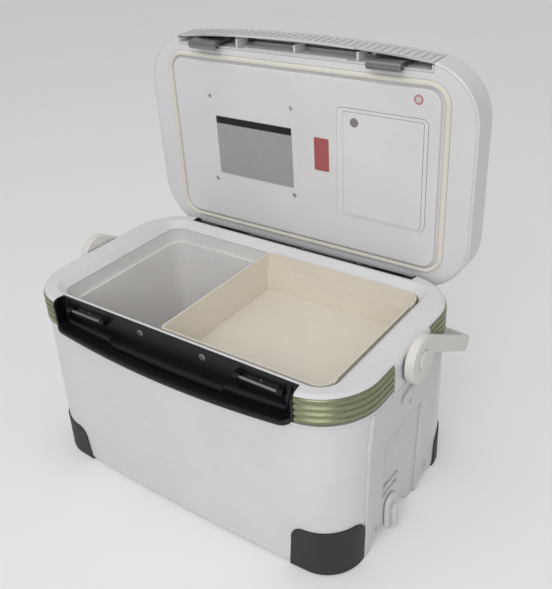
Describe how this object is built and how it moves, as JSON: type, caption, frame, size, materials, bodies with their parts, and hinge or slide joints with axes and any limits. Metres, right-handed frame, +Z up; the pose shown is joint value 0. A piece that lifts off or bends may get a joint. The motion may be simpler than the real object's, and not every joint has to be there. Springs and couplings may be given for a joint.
{
  "type": "vaccine carrier",
  "caption": "Hard insulated vaccine carrier with a lid hung on steel rods, sprung latch levers, a bail handle, a lift-out tray, side plates and a side drain, standing open.",
  "frame": {"origin": "centre of the carrier's base, on the plane it stands on", "axes": "+X along the length towards the end with the drain, +Y towards the back where the lid is hung, +Z up"},
  "size_m": [0.5524, 0.3702, 0.5628],
  "materials": {
    "body_plastic": "gloss",
    "liner_plastic": "gloss",
    "foam": "matte",
    "trim_olive": "satin",
    "panel_black": "satin",
    "steel": "brushed",
    "rubber_dark": "matte",
    "plate_white": "satin",
    "handle_cream": "satin",
    "tray_beige": "satin",
    "gasket_cream": "matte",
    "lid_inner": "satin",
    "cover_white": "satin",
    "plate_grey": "satin",
    "header_black": "matte",
    "sticker_red": "matte",
    "sticker_grey": "matte",
    "plug_black": "matte"
  },
  "bodies": {
    "body": {"outer_shell": "body_plastic", "top_rim": "body_plastic", "inner_liner": "liner_plastic", "body_insulation": "foam", "trim_front_left": "trim_olive", "trim_front_right": "trim_olive", "trim_rear_left": "trim_olive", "trim_rear_right": "trim_olive", "front_latch_panel": "panel_black", "rear_latch_panel": "panel_black", "catch_rod_front_left": "steel", "catch_rod_front_right": "steel", "catch_rod_rear_left": "steel", "catch_rod_rear_right": "steel", "front_panel_screws": "steel", "rear_panel_screws": "steel", "foot_front_left": "rubber_dark", "foot_front_right": "rubber_dark", "foot_rear_left": "rubber_dark", "foot_rear_right": "rubber_dark", "side_plate_left": "plate_white", "side_plate_right": "plate_white", "side_plate_screws_left": "plate_white", "side_plate_screws_right": "plate_white", "drain_bracket": "plate_white", "drain_tube": "plate_white", "pivot_boss_left": "body_plastic", "pivot_boss_right": "body_plastic", "pivot_pin_left": "steel", "pivot_pin_right": "steel"},
    "drain_plug_unit": {"drain_plug": "plate_white", "drain_plug_seal": "plug_black"},
    "tray_unit": {"tray": "tray_beige"},
    "handle_unit": {"handle_bail": "handle_cream", "pivot_cap_left": "handle_cream", "pivot_cap_right": "handle_cream"},
    "lid_unit": {"lid_shell": "body_plastic", "lid_liner": "lid_inner", "lid_insulation": "foam", "lid_gasket": "gasket_cream", "lid_screws": "steel", "access_frame": "cover_white", "access_cover": "cover_white", "record_plate": "plate_grey", "record_plate_header": "header_black", "seal_sticker": "sticker_red", "round_stickers": "sticker_grey", "front_latch_housing": "plate_white", "rear_latch_housing": "plate_white", "front_lever_shaft": "steel", "rear_lever_shaft": "steel", "front_lever_springs": "steel", "rear_lever_springs": "steel"},
    "front_lever_unit": {"front_lever": "plate_white", "front_claw_left": "steel", "front_claw_right": "steel"},
    "rear_lever_unit": {"rear_lever": "plate_white", "rear_claw_left": "steel", "rear_claw_right": "steel"}
  },
  "joints": [
    {"name": "lid_hinge", "type": "hinge", "parent": "body", "child": "lid_unit", "pos_m": [0, 0.1426, 0.2594], "axis": [-1, 0, 0], "range_deg": [-89.65, 0]},
    {"name": "front_lever_pivot", "type": "hinge", "parent": "lid_unit", "child": "front_lever_unit", "pos_m": [0, 0.18144, 0.54774], "axis": [-1, 0, 0], "range_deg": [0, 12], "stiffness_Nm_per_rad": 0.5},
    {"name": "rear_lever_pivot", "type": "hinge", "parent": "lid_unit", "child": "rear_lever_unit", "pos_m": [0, 0.18322, 0.25675], "axis": [1, 0, 0], "range_deg": [0, 12], "stiffness_Nm_per_rad": 0.5},
    {"name": "handle_pivot", "type": "hinge", "parent": "body", "child": "handle_unit", "pos_m": [0, 0, 0.254], "axis": [1, 0, 0], "range_deg": [0, 15]},
    {"name": "tray_lift", "type": "slide", "parent": "body", "child": "tray_unit", "axis": [0, 0, 1], "range_m": [0, 0.09]},
    {"name": "drain_plug_pull", "type": "slide", "parent": "body", "child": "drain_plug_unit", "axis": [1, 0, 0], "range_m": [0, 0.045]}
  ]
}
